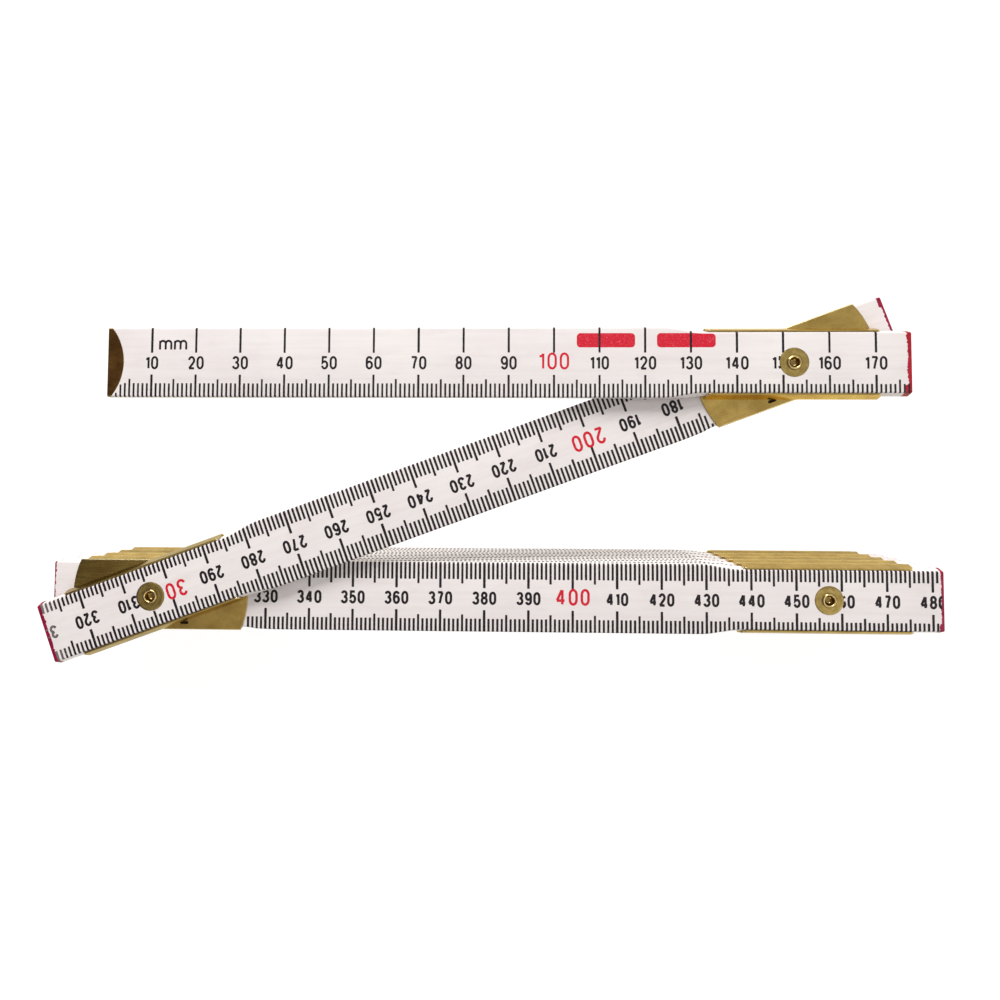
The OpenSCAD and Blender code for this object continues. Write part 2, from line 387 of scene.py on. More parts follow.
# how far the red paint reaches in from each end, start and finish of the section, and how
# ragged its edge is
PAINT = {1: (0.0, 0.95, 1.2), 2: (0.62, 0.90, 0.8), 3: (0.36, 0.68, 0.8)}
OTHER_PAINT = (0.13, 0.13, 0.25)
NO_PAINT = -50.0


def covered(k, x, y, z):
    """Whether a point of the wood's faces lies under one of the section's plates."""
    if k > 1 and z > THICK - 0.1:
        return math.hypot(x, y) < (OVER_MID if x > 0 else OVER_TIP) and abs(y) < GRIP_HALF
    if k < LEAVES and z < 0.1:
        return math.hypot(x - STEP, y) < UNDER_R and abs(y) < GRIP_HALF
    return False


def wood(k):
    """The enamelled wood of a section, with rounded ends."""
    a, b = span(k)
    angles = [math.pi / 2 * i / END_STEPS for i in range(END_STEPS)]
    ends = [(END_R * (1 - math.cos(t)), END_R * (1 - math.sin(t))) for t in angles]
    xs = ([(a + d, shrink) for d, shrink in ends] + [(x, 0.0) for x in stations(k)]
          + [(b - d, shrink) for d, shrink in ends[::-1]])
    verts = []
    for x, shrink in xs:
        top, low = half_widths(k, x)
        ring = wood_ring(top, low, shrink * 0.6)
        verts += [(x, y, z) for y, z in ring]
    count = len(ring)
    faces = ring_faces(len(xs), count)
    faces.append(tuple(range(count))[::-1])
    faces.append(tuple(range((len(xs) - 1) * count, len(xs) * count)))
    obj = make_piece(name_of("enamel", k), verts, faces, k, MATERIALS["enamel"],
                     holes=joint_holes(k))
    # how far inside a painted end zone a vertex lies, in millimetres, and how ragged the
    # paint is there
    pts = section_points(obj.data, k)
    first, last, ragged = PAINT.get(k, OTHER_PAINT)
    paint = np.full(len(pts), NO_PAINT)
    if k > 1:
        paint = np.maximum(paint, first - (pts[:, 0] - a))
    if k < LEAVES:
        paint = np.maximum(paint, last - (b - pts[:, 0]))
    # under_plate marks the bare wood under a plate, which the enamel paints almost black as painted shade
    under_plate = np.array([1.0 if covered(k, *p) else 0.0 for p in pts])
    store(obj.data, "paint", np.stack([paint, np.full(len(pts), ragged), under_plate], 1))
    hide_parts(name_of("section", k))
    return obj


# ---------------------------------------------------------------- printed ink
INK_DOWN = 0.01                # how far ink reaches into the wood
ORDER_LIFT = 0.003             # between strokes that cross
EDGE_WRAP = (0.4, 0.8, 1.15, 1.45)     # marks follow the rounded edge to these angles
SHORTEST_MARK = 0.15
MITRE_LIMIT = 2.2


class Ink:
    """Collects closed slabs of ink lying on one face of a section."""

    def __init__(self, k, face, lift):
        self.k, self.face, self.lift = k, face, lift
        self.verts, self.faces = [], []

    def edge(self, x):
        """Where the rounded edge starts, from the centre line, and the angle it turns by."""
        near, far = half_widths(self.k, x)[::self.face]
        lean = math.atan2(far - near, THICK)
        return (near - EDGE_R / math.tan((math.pi / 2 + lean) / 2), math.pi / 2 - lean)

    def place(self, x, s, lift):
        """A point at x and at a distance s from the centre line, measured round the edge."""
        sign = 1 if s >= 0 else -1
        s = abs(s)
        flat, _ = self.edge(x)
        if s <= flat:
            y, dz, ny, nz = s, 0.0, 0.0, 1.0
        else:
            a = (s - flat) / EDGE_R
            y, dz = flat + EDGE_R * math.sin(a), EDGE_R * (1 - math.cos(a))
            ny, nz = math.sin(a), math.cos(a)
        z = (THICK - dz + nz * lift) if self.face > 0 else (dz - nz * lift)
        return (x, sign * (y + ny * lift), z)

    def slab(self, rows, order=0):
        """rows: pairs of (x, s) points, left and right, following one stroke. Strokes that
        cross have different orders, so that their faces don't lie in one plane."""
        base = len(self.verts)
        lift = self.lift + ORDER_LIFT * order
        for left, right in rows:
            for x, s in (left, right):
                self.verts.append(self.place(x, s, lift))
                self.verts.append(self.place(x, s, -INK_DOWN))
        n = len(rows)
        quads = []
        for i in range(n - 1):
            a, b = base + 4 * i, base + 4 * (i + 1)
            quads += [(a, a + 2, b + 2, b), (a + 1, b + 1, b + 3, a + 3),
                      (a, b, b + 1, a + 1), (a + 2, a + 3, b + 3, b + 2)]
        e = base + 4 * (n - 1)
        quads += [(base, base + 1, base + 3, base + 2), (e, e + 2, e + 3, e + 1)]
        if self.face < 0:
            quads = [q[::-1] for q in quads]
        self.faces += quads

    def tick(self, x, side, inner, width):
        """A mark from the edge on one side inwards to inner, measured from the centre."""
        flat, turn = self.edge(x)
        outer = [flat + EDGE_R * a for a in EDGE_WRAP if a < turn - 0.05]
        if flat < inner + SHORTEST_MARK:
            return
        w = width / 2 * side
        rows = [((x - w, side * s), (x + w, side * s))
                for s in [inner, inner + 0.06, flat] + outer]
        blunt = 0.8 * w
        rows[0] = ((x - blunt, side * inner), (x + blunt, side * inner))
        self.slab(rows)

    def stroke(self, path, width, closed=False, order=0):
        """A ribbon of constant width along a path of (x, y) points on the face."""
        pts = np.array(path, float)
        n = len(pts)
        rows = []
        for i in range(n):
            if closed:
                before, after = pts[i - 1], pts[(i + 1) % n]
            else:
                before, after = pts[max(i - 1, 0)], pts[min(i + 1, n - 1)]
            d0, d1 = pts[i] - before, after - pts[i]
            if not np.any(d0):
                d0 = d1
            if not np.any(d1):
                d1 = d0
            d0, d1 = d0 / np.linalg.norm(d0), d1 / np.linalg.norm(d1)
            t = d0 + d1
            t /= np.linalg.norm(t)
            normal = np.array([-t[1], t[0]])
            mitre = min(1.0 / max(abs(float(np.dot(t, d1))), 0.01), MITRE_LIMIT)
            off = normal * width / 2 * mitre
            rows.append((tuple(pts[i] + off), tuple(pts[i] - off)))
        if closed:
            rows.append(rows[0])
        self.slab(rows, order)

    def piece(self, name, material):
        """Makes the ink printed so far a piece of its own."""
        if self.verts:
            obj = make_piece(name, self.verts, self.faces, self.k, material, smooth=False)


# ---------------------------------------------------------------- numerals
def arc(cx, cy, rx, ry, a0, a1, steps=10):
    """Points along an ellipse, between two angles in degrees."""
    return [(cx + rx * math.cos(math.radians(a0 + (a1 - a0) * i / steps)),
             cy + ry * math.sin(math.radians(a0 + (a1 - a0) * i / steps)))
            for i in range(steps + 1)]


def turned(path):
    """The path turned upside down in its unit box."""
    return [(1 - x, 1 - y) for x, y in path]


SIX_STEM = arc(0.5, 0.72, 0.49, 0.28, 20, 180, 9) + [(0.0, 0.30)]
SIX_BOWL = arc(0.5, 0.30, 0.5, 0.30, 180, 540, 20)[:-1]
# skeleton of each glyph in a unit box: (share of the full width, [(closed, path), ...])
GLYPHS = {
    "0": (1.0, [(True, arc(0.5, 0.68, 0.5, 0.32, 0, 180, 10)
                 + arc(0.5, 0.32, 0.5, 0.32, 180, 360, 10))]),
    "1": (0.60, [(False, [(0.92, 1.0), (0.92, 0.0)]),
                 (False, [(0.85, 0.93), (0.45, 0.84), (-0.15, 0.80)])]),
    "2": (1.0, [(False, arc(0.49, 0.71, 0.49, 0.29, 175, -28, 10) + [(0.06, 0.0)]),
                (False, [(0.0, 0.0), (1.0, 0.0)])]),
    "3": (1.0, [(False, arc(0.48, 0.76, 0.46, 0.24, 165, -75, 10)
                 + [(0.40, 0.52)]),
                (False, [(0.40, 0.52)] + arc(0.48, 0.26, 0.52, 0.26, 80, -168, 11))]),
    "4": (1.1, [(False, [(0.71, 0.0), (0.71, 1.0)]), (False, [(0.64, 1.0), (0.02, 0.28)]),
                (False, [(-0.04, 0.26), (1.0, 0.26)])]),
    "5": (1.0, [(False, [(0.93, 1.0), (0.13, 1.0), (0.07, 0.50)]
                 + arc(0.49, 0.31, 0.51, 0.31, 128, -165, 12))]),
    "6": (1.0, [(False, SIX_STEM), (True, SIX_BOWL)]),
    "7": (0.98, [(False, [(0.0, 1.0), (1.0, 1.0)]),
                 (False, [(0.96, 1.0), (0.62, 0.52), (0.40, 0.0)])]),
    "8": (1.0, [(True, arc(0.5, 0.755, 0.44, 0.245, 0, 360, 16)[:-1]),
                (True, arc(0.5, 0.27, 0.5, 0.27, 0, 360, 16)[:-1])]),
    "9": (1.0, [(False, turned(SIX_STEM)), (True, turned(SIX_BOWL))]),
    "m": (1.75, [(False, [(0.0, 0.0), (0.0, 1.0)]),
                 (False, [(0.0, 0.66)] + arc(0.25, 0.70, 0.25, 0.30, 165, 0, 6)
                  + [(0.5, 0.0)]),
                 (False, [(0.5, 0.66)] + arc(0.75, 0.70, 0.25, 0.30, 165, 0, 6)
                  + [(1.0, 0.0)])]),
}
GRAIN = 0.12        # spacing of points where a stroke has to be cut, in millimetres


def text_width(text, width, gap):
    return sum(GLYPHS[c][0] * width for c in text) + gap * (len(text) - 1)


def write(ink, text, x_mid, base, limit, height, width, stroke, gap):
    """Prints text centred on x_mid, with its foot at base. Ink past the limits or under
    a washer is left out."""
    x = x_mid - text_width(text, width, gap) / 2
    up = 1 if ink.face > 0 else -1
    washer = STEP if ink.face > 0 else 0.0

    def shown(p):
        return (limit[0] + stroke / 2 <= p[0] <= limit[1] - stroke / 2
                and math.hypot(p[0] - washer, p[1]) > WASHER_R + TURN_GAP)

    for c in text:
        share, strokes = GLYPHS[c]
        w = share * width - stroke
        h = height - stroke
        for order, (closed, path) in enumerate(strokes):
            pts = [(x + stroke / 2 + px * w, up * (base + stroke / 2 + py * h))
                   for px, py in path]
            fine = finer(pts + pts[:1] if closed else pts)
            if all(shown(p) for p in fine):
                ink.stroke(pts, stroke, closed, order)
            else:
                cut_stroke(ink, fine, stroke, shown, order)
        x += share * width + gap


def finer(pts):
    """The same path with points no further apart than GRAIN."""
    out = [pts[0]]
    for (x0, y0), (x1, y1) in zip(pts, pts[1:]):
        steps = max(1, math.ceil(math.hypot(x1 - x0, y1 - y0) / GRAIN))
        out += [(x0 + (x1 - x0) * i / steps, y0 + (y1 - y0) * i / steps)
                for i in range(1, steps + 1)]
    return out


def cut_stroke(ink, pts, width, shown, order):
    """Prints the stretches of a path whose points are shown."""
    run = []
    for p in pts + [None]:
        if p is not None and shown(p):
            if not run or p != run[-1]:
                run.append(p)
        else:
            if len(run) > 1:
                ink.stroke(run, width, order=order)
            run = []


# ---------------------------------------------------------------- the printed scales
NUMERAL = {"height": 3.00, "width": 1.64, "stroke": 0.56, "gap": 0.28}
HUNDRED = {"height": 3.80, "width": 2.08, "stroke": 0.58, "gap": 0.62}
UNIT = {"height": 2.42, "width": 1.73, "stroke": 0.46, "gap": 0.36}
FIRST_WEIGHT = 0.86            # the first section is printed a little finer
NUMERAL_BASE = -1.6
TICK_W = 0.51
TEN_WEIGHT = 1.12              # marks at ten millimetres are a little wider
WIDTH_JITTER = 0.06
LENGTH_JITTER = 0.04
LAST_MARK = {1: 0.35, LEAVES: 3.0}     # bare wood after a section's last mark
OTHER_LAST_MARK = 0.95
BLACK_LIFT = 0.016
RED_LIFT = 0.010
# inner ends of the one, five and ten millimetre marks below and above the middle
BELOW = (4.72, 3.78, 2.75)
ABOVE = (4.15, 3.15, 2.15)
# lengths of the inch scale's marks, by how many sixteenths they stand for
INCH_MARKS = {16: 5.6, 8: 5.0, 4: 4.3, 2: 3.7, 1: 2.9}
RED_BARS = ((105.0, 117.8), (122.6, 135.4))
RED_BAR_Y = (3.3, 6.45)
PLATE_MARGIN = 0.3             # between a plate and the first mark beside it


def print_shift(k, rng):
    """How far the print of a section sits off its centre line."""
    return {1: -0.02, 2: 0.2, 3: -0.12}.get(k, rng.uniform(-0.15, 0.15))


def tip_edge_y(x):
    """Half width of the bare wood beside a tip's rounded edge at x."""
    from_centre = x - (TIP_REACH - TIP_R)
    return math.sqrt(max(TIP_R * TIP_R - from_centre * from_centre, 0.0))


def plate_edge_y(distance, reach):
    """How far from the centre line a plate's round end lies, at a distance from the joint,
    and the other way about."""
    return math.sqrt(max(reach * reach - distance * distance, 0.0))


def millimetre_face(k, rng):
    """Millimetre scale on the top face."""
    black, red = Ink(k, 1, BLACK_LIFT), Ink(k, 1, RED_LIFT)
    a, b = span(k)
    start = 2.0 if k == 1 else plate_edge_y(HALF_W - 1, OVER_MID) + PLATE_MARGIN
    end = b - LAST_MARK.get(k, OTHER_LAST_MARK)
    zero = STEP * (k - 1)
    shift = print_shift(k, rng)
    weight = FIRST_WEIGHT if k == 1 else 1.0
    for mark in range(math.ceil(zero + start), math.floor(zero + end) + 1):
        x = mark - zero
        ten, five = mark % 10 == 0, mark % 5 == 0
        w = TICK_W * weight * (1 + WIDTH_JITTER * rng.uniform(-1, 1))
        w *= TEN_WEIGHT if ten else 1
        for side, inner_ends in ((-1, BELOW), (1, ABOVE)):
            if k == 1 and side > 0 and not ten:
                continue
            inner = inner_ends[2] if ten else inner_ends[1] if five else inner_ends[0]
            inner += side * shift + LENGTH_JITTER * rng.uniform(-1, 1)
            if k == 1 and x < TIP_REACH:
                inner = max(inner, tip_edge_y(x - w) + SHORTEST_MARK)
            if k > 1:
                inner = max(inner, plate_edge_y(x - w, OVER_MID))
            black.tick(x, side, inner, w)
    for mark in range(math.ceil((zero + start) / 10) * 10, int(zero + end) + 4, 10):
        hundred = mark % 100 == 0
        style = dict(HUNDRED if hundred else NUMERAL)
        style["stroke"] *= weight
        write(red if hundred else black, str(mark), mark - zero, NUMERAL_BASE + shift,
              (a, b - 0.15), **style)
    if k == 1:
        write(black, "mm", 14.75, 2.62, (a, b), **UNIT)
        for x0, x1 in RED_BARS:
            red_bar(red, x0, x1, *RED_BAR_Y)
    black.piece(name_of("print_black", k), MATERIALS["ink_black"])
    red.piece(name_of("print_red", k), MATERIALS["ink_red"])


def red_bar(ink, x0, x1, y0, y1):
    """A plain bar with rounded corners, kept off the planed edge."""
    r = 0.8
    xs = [x0 + r - r * math.cos(math.pi / 2 * i / 6) for i in range(7)]
    xs += [x0 + r + (x1 - x0 - 2 * r) * i / 12 for i in range(1, 12)]
    xs += [x1 - r + r * math.sin(math.pi / 2 * i / 6) for i in range(7)]
    rows = []
    for x in xs:
        near_end = max(x0 + r - x, x - (x1 - r), 0.0)
        inset = r - math.sqrt(max(r * r - near_end * near_end, 0.0))
        top = min(y1, ink.edge(x)[0] + 0.02)
        rows.append(((x, top - inset), (x, y0 + inset)))
    ink.slab(rows)


def inch_face(k, rng):
    """Inch scale in sixteenths on the underside."""
    black, red = Ink(k, -1, BLACK_LIFT), Ink(k, -1, RED_LIFT)
    a, b = span(k)
    start = a + 0.35 if k > 1 else a + 3.0
    end = b - 3.0
    if k < LEAVES:
        end = STEP - plate_edge_y(HALF_W - 1, UNDER_R) - PLATE_MARGIN
    zero = STEP * (k - 1)
    sixteenth = INCH / 16
    for n in range(math.ceil((zero + start) / sixteenth),
                   math.floor((zero + end) / sixteenth) + 1):
        x = n * sixteenth - zero
        step = next(s for s in INCH_MARKS if n % s == 0)
        w = TICK_W * (1 + WIDTH_JITTER * rng.uniform(-1, 1))
        for side in (-1, 1):
            inner = HALF_W - INCH_MARKS[step] + LENGTH_JITTER * rng.uniform(-1, 1)
            if k < LEAVES:
                inner = max(inner, plate_edge_y(STEP - x - w, UNDER_R))
            black.tick(x, side, inner, w)
        if step == 16 and n > 0:
            inches = n // 16
            foot = inches % 12 == 0
            write(red if foot else black, str(inches), x, NUMERAL_BASE,
                  (a + 0.2, b), **(HUNDRED if foot else NUMERAL))
    black.piece(name_of("print_back_black", k), MATERIALS["ink_black"])
    red.piece(name_of("print_back_red", k), MATERIALS["ink_red"])


# ---------------------------------------------------------------- materials
class Nodes:
    """Short ways to add the shader nodes the materials share."""

    def __init__(self, owner):
        owner.use_nodes = True
        self.nodes, self.links = owner.node_tree.nodes, owner.node_tree.links

    def fill(self, node, inputs):
        """Gives a node's inputs their numbers, colours or links."""
        for key, value in inputs.items():
            if isinstance(value, (int, float)):
                node.inputs[key].default_value = value
            elif isinstance(value, tuple):
                node.inputs[key].default_value = (*value, 1)
            else:
                self.links.new(value, node.inputs[key])

    def attribute(self, name):
        node = self.nodes.new("ShaderNodeAttribute")
        node.attribute_name = name
        return node

    def noise(self, vector, scale, detail, stretch=(1, 1, 1), turn=0.0, rough=0.5):
        mapping = self.nodes.new("ShaderNodeMapping")
        mapping.vector_type = "TEXTURE" if turn else "POINT"
        if turn:
            mapping.inputs["Scale"].default_value = [1 / s for s in stretch]
            mapping.inputs["Rotation"].default_value = (0, 0, turn)
        else:
            mapping.inputs["Scale"].default_value = stretch
        self.links.new(vector, mapping.inputs["Vector"])
        n = self.nodes.new("ShaderNodeTexNoise")
        self.fill(n, {"Scale": scale, "Detail": detail, "Roughness": rough,
                      "Vector": mapping.outputs["Vector"]})
        return n.outputs["Fac"]

    def ramp(self, source, stops):
        r = self.nodes.new("ShaderNodeValToRGB")
        self.links.new(source, r.inputs["Fac"])
        e = r.color_ramp.elements
        e[0].position, e[0].color = stops[0][0], (*stops[0][1], 1)
        e[1].position, e[1].color = stops[-1][0], (*stops[-1][1], 1)
        for p, c in stops[1:-1]:
            e.new(p).color = (*c, 1)
        return r.outputs["Color"]

    def grey_ramp(self, source, stops):
        return self.ramp(source, [(p, (v, v, v)) for p, v in stops])

    def remap(self, source, low, high, to_low, to_high):
        n = self.nodes.new("ShaderNodeMapRange")
        self.fill(n, {"Value": source, "From Min": low, "From Max": high,
                      "To Min": to_low, "To Max": to_high})
        return n.outputs["Result"]

    def maths(self, operation, first, second):
        n = self.nodes.new("ShaderNodeMath")
        n.operation = operation
        self.fill(n, {0: first, 1: second})
        return n.outputs[0]

    def mix(self, kind, factor, first, second):
        n = self.nodes.new("ShaderNodeMixRGB")
        n.blend_type = kind
        self.fill(n, {"Fac": factor, 1: first, 2: second})
        return n.outputs["Color"]

    def split(self, vector):
        n = self.nodes.new("ShaderNodeSeparateXYZ")
        self.links.new(vector, n.inputs["Vector"])
        return n.outputs

    def bump(self, height, strength, distance, normal=None):
        n = self.nodes.new("ShaderNodeBump")
        self.fill(n, {"Strength": strength, "Distance": distance, "Height": height})
        if normal is not None:
            self.links.new(normal, n.inputs["Normal"])
        return n.outputs["Normal"]


def node_material(name):
    """A new material, its nodes and its main shader."""
    mat = bpy.data.materials.new(name)
    n = Nodes(mat)
    return mat, n, n.nodes["Principled BSDF"]


def enamel_material():
    """Worn white enamel on wood, with red paint on the ends."""
    mat, n, bsdf = node_material("white_enamel")
    place = n.attribute("leaf").outputs["Vector"]
    paint, raggedness, bare_shaded_wood = n.split(n.attribute("paint").outputs["Vector"])
    tint = n.ramp(n.noise(place, 0.05, 3),
                  [(0.30, (0.800, 0.735, 0.725)), (0.5, (0.830, 0.770, 0.755)),
                   (0.70, (0.850, 0.795, 0.770))])
    grain = n.noise(place, 0.9, 5, (0.04, 1.0, 1.0), rough=0.6)
    colour = n.mix("MULTIPLY", 1.0, tint,
                   n.ramp(grain, [(0.34, (0.955, 0.950, 0.945)), (0.60, (1, 1, 1))]))
    specks = n.noise(place, 2.3, 2)
    colour = n.mix("MULTIPLY", n.grey_ramp(specks, [(0.70, 0.0), (0.76, 0.25)]),
                   colour, (0.62, 0.56, 0.50))
    # smudges of grime
    smudge = n.noise(place, 0.35, 4, (0.4, 1.0, 1.0))
    colour = n.mix("MULTIPLY", n.grey_ramp(smudge, [(0.56, 0.0), (0.75, 0.35)]),
                   colour, (0.86, 0.84, 0.82))
    # bare wood where a plate covers it, painted almost black as painted shade, seen through the plate's slots
    colour = n.mix("MIX", bare_shaded_wood, colour, (0.045, 0.024, 0.010))
    # red paint on the ends, with a wandering edge, one heavy corner and one light one
    across = n.split(place)["Y"]
    corner = n.maths("ADD", n.remap(across, -5.05, -4.85, 0.52, 0.0),
                     n.remap(across, 4.7, 4.9, 0.0, 0.12))
    wander = n.remap(n.noise(place, 0.8, 3, (0.05, 1.0, 0.3)), 0.3, 0.7, -0.10, 0.12)
    jagged = n.remap(n.noise(place, 2.6, 3, (0.15, 1.0, 1.0)), 0.3, 0.7, -0.16, 0.16)
    rough_edge = n.maths("MULTIPLY", n.maths("ADD", n.maths("ADD", wander, corner), jagged),
                         raggedness)
    inside = n.maths("ADD", paint, rough_edge)
    cover = n.grey_ramp(n.maths("ADD", inside, 0.5), [(0.48, 0.0), (0.56, 1.0)])
    blotches = n.noise(place, 1.4, 3)
    scarlet = n.ramp(blotches, [(0.35, (0.30, 0.002, 0.010)), (0.65, (0.46, 0.004, 0.024))])
    crimson = n.ramp(blotches, [(0.35, (0.18, 0.001, 0.022)), (0.65, (0.36, 0.002, 0.048))])
    first_leaf = n.maths("LESS_THAN", n.split(place)["X"], STEP * 3.5)
    red = n.mix("MIX", first_leaf, crimson, scarlet)
    gloss = n.grey_ramp(n.noise(place, 0.5, 3), [(0.3, 0.38), (0.7, 0.52)])
    n.fill(bsdf, {"Base Color": n.mix("MIX", cover, colour, red),
                  "Roughness": gloss,
                  "Specular IOR Level": n.remap(bare_shaded_wood, 0.0, 1.0, 0.35, 0.02),
                  "Normal": n.bump(grain, 0.22, 0.05 * MM)})
    return mat


def ink_material(name, colour, faded, fade):
    """Printed ink, a little worn all over and rubbed away at a worn end."""
    mat, n, bsdf = node_material(name)
    place = n.attribute("leaf").outputs["Vector"]
    near_end = n.remap(n.attribute("to_end").outputs["Fac"], 1.6, 5.0, 0.30, 0.0)
    wear = n.maths("ADD", n.noise(place, 3.2, 5, rough=0.65), near_end)
    worn = n.grey_ramp(wear, [(0.56, 0.0), (0.67, fade), (0.76, 0.85)])
    n.fill(bsdf, {"Base Color": n.mix("MIX", worn, colour, faded), "Roughness": 0.5,
                  "Specular IOR Level": 0.3})
    return mat


def brass_material(name, colour, dark, edge, roughness, turn=0.0, side=(1.0, 1.0, 1.0)):
    """Sheet metal of a CAD part: cloudy tarnish, fine lines at an angle of turn to x, and
    edges lightened, partly as wear and partly as painted highlight, with a painted highlight on the folds. side
    multiplies the colour of the upright faces: painted light where it is above one, painted shade where below."""
    mat, n, bsdf = node_material(name)
    place = n.nodes.new("ShaderNodeTexCoord").outputs["Object"]
    cloud = n.noise(place, 260.0, 6, rough=0.6)
    lines = n.noise(place, 320.0, 5, (0.8, 22, 22), turn=turn)
    tone = n.ramp(cloud, [(0.36, dark), (0.62, colour)])
    tone = n.mix("MULTIPLY", 1.0, tone,
                 n.ramp(lines, [(0.30, (0.945, 0.935, 0.915)), (0.62, (1, 1, 1))]))
    # every section's plates have their own tone, and a painted highlight lightens the lowest part of each layer,
    # where the plate under a section is folded
    layer = n.maths("DIVIDE", n.maths("ADD", n.split(place)["Z"], PLATE_T * MM), PITCH * MM)
    own = n.nodes.new("ShaderNodeTexWhiteNoise")
    own.noise_dimensions = "1D"
    n.fill(own, {"W": n.maths("FLOOR", layer, 0.0)})
    tone_and_fold_highlight = n.maths("MULTIPLY", n.remap(own.outputs["Value"], 0.0, 1.0, 0.82, 1.10),
                    n.remap(n.maths("FRACT", layer, 0.0), 0.10, 0.30, 1.22, 1.0))
    tone = n.mix("MULTIPLY", 1.0, tone, tone_and_fold_highlight)
    rounded = n.nodes.new("ShaderNodeBevel")
    rounded.samples = 6
    rounded.inputs["Radius"].default_value = 0.14 * MM
    # where the rounded normal leaves the flat one, the sheet has an edge or is folded; there its colour is
    # lightened, partly as wear and partly as painted highlight
    off_flat = n.nodes.new("ShaderNodeVectorMath")
    off_flat.operation = "DOT_PRODUCT"
    flat = n.nodes.new("ShaderNodeNewGeometry").outputs["True Normal"]
    n.fill(off_flat, {0: rounded.outputs["Normal"], 1: flat})
    worn = n.remap(off_flat.outputs["Value"], 0.93, 0.75, 0.0, 0.8)
    # the folds are the only parts whose surface is neither flat nor upright
    upward = n.maths("ABSOLUTE", n.split(flat)["Z"], 0.0)
    # upright faces are multiplied by side: painted light on the first section's plates, painted shade on the
    # turned second section's
    tone = n.mix("MULTIPLY", n.grey_ramp(upward, [(0.34, 1.0), (0.45, 0.0)]), tone, side)
    # painted highlight along the folds
    fold = n.grey_ramp(upward, [(0.38, 0.0), (0.45, 0.95), (0.94, 0.95), (0.985, 0.0)])
    worn = n.maths("MAXIMUM", worn, fold)
    n.fill(bsdf, {"Base Color": n.mix("MIX", worn, tone, edge), "Metallic": 1.0,
                  "Roughness": n.remap(lines, 0.3, 0.7, roughness - 0.04, roughness + 0.06),
                  "Normal": n.bump(lines, 0.12, 0.03 * MM, rounded.outputs["Normal"])})
    return mat


def turned_brass_material(name, colour, dark, roughness, contact_shadow_level=1.0):
    """Round brass parts: rings of tarnish, and painted shade down the bore."""
    mat, n, bsdf = node_material(name)
    place = n.attribute("leaf").outputs["Vector"]
    ring = n.attribute("ring").outputs["Vector"]
    radius, _, depth = n.split(ring)
    rings = n.noise(ring, 2.2, 4, (4.0, 0.35, 1.0))
    cloud = n.noise(place, 0.9, 4)
    blend = n.maths("ADD", n.maths("MULTIPLY", rings, 0.5), n.maths("MULTIPLY", cloud, 0.5))
    tone = n.ramp(blend, [(0.36, dark), (0.62, colour)])
    # painted shade down the bore, darker the deeper the point lies
    shade = n.ramp(n.remap(depth, 0.05, 1.1, 0.0, 1.0),
                   [(0.0, (1, 1, 1)), (0.22, (0.50, 0.46, 0.38)), (1.0, (0.36, 0.33, 0.27))])
    tone = n.mix("MULTIPLY", 1.0, tone, shade)
    # painted shadow on the washer round the rolled edge, where the roll sits on it
    painted_contact_shadow = n.remap(radius, CUP_R + 2 * ROLL_R, CUP_R + 2 * ROLL_R + 0.35, contact_shadow_level, 1.0)
    tone = n.mix("MULTIPLY", 1.0, tone, painted_contact_shadow)
    n.fill(bsdf, {"Base Color": tone, "Metallic": 1.0,
                  "Roughness": n.remap(rings, 0.3, 0.7, roughness - 0.08, roughness + 0.12),
                  "Normal": n.bump(blend, 0.30, 0.04 * MM)})
    return mat


# the third colour lightens worn edges and paints highlights along the folds
BRASS, BRASS_DARK, BRASS_WEAR_AND_HIGHLIGHT = (0.62, 0.425, 0.125), (0.46, 0.30, 0.08), (0.86, 0.74, 0.44)
_along = JOINTS["fold_01_02"] - JOINTS["fold_02_03"]
SWING_2 = math.atan2(_along.y, _along.x)       # how far section 2 is turned
MATERIALS = {
    "enamel": enamel_material(),
    "ink_black": ink_material("black_ink", (0.008, 0.004, 0.007), (0.20, 0.17, 0.18), 0.30),
    "ink_red": ink_material("red_ink", (0.62, 0.006, 0.026), (0.85, 0.30, 0.34), 0.40),
    "plate": brass_material("plate_brass", BRASS, BRASS_DARK, BRASS_WEAR_AND_HIGHLIGHT, 0.25),
    # the first section's plates get painted light on their upright faces, the second section's get painted shade
    "plate_first_lit_sides": brass_material("plate_brass_first_lit_sides", BRASS, BRASS_DARK, BRASS_WEAR_AND_HIGHLIGHT, 0.25,
                                  side=(1.42, 1.42, 0.95)),
    "plate_turned_shaded_sides": brass_material("plate_brass_turned_shaded_sides", BRASS, BRASS_DARK, BRASS_WEAR_AND_HIGHLIGHT, 0.25,
                                   turn=SWING_2, side=(0.74, 0.76, 0.60)),
    # washers get a painted shadow round the rivet's rolled edge
    "washer": turned_brass_material("washer_brass", (0.54, 0.39, 0.125), (0.31, 0.21, 0.065),
                                    0.32, contact_shadow_level=0.45),
    "rivet": turned_brass_material("rivet_brass", (0.86, 0.66, 0.30), (0.70, 0.50, 0.20), 0.20),
    "tip": brass_material("tip_brass", (0.31, 0.155, 0.045), (0.16, 0.075, 0.022),
                          (0.62, 0.45, 0.20), 0.34),
    "spring": brass_material("spring_steel", (0.42, 0.42, 0.44), (0.3, 0.3, 0.32),
                             (0.7, 0.7, 0.72), 0.3),
}


def dress_cad_nodes():
    """Gives the CAD parts that stay on show their materials. The first name that fits
    counts."""
    kinds = {"strike_plates_01": "plate_first_lit_sides", "strike_plates_02": "plate_turned_shaded_sides",
             "strike_plates": "plate", "spring": "spring", "zero_tip": "tip",
             "last_tip": "tip"}
    for node, obj in frame["nodes"].items():
        key = next((key for kind, key in kinds.items() if node.startswith(kind)), None)
        if key:
            obj.data.materials.clear()
            obj.data.materials.append(MATERIALS[key])


# ---------------------------------------------------------------- washers and rivets
SEGMENTS = 96


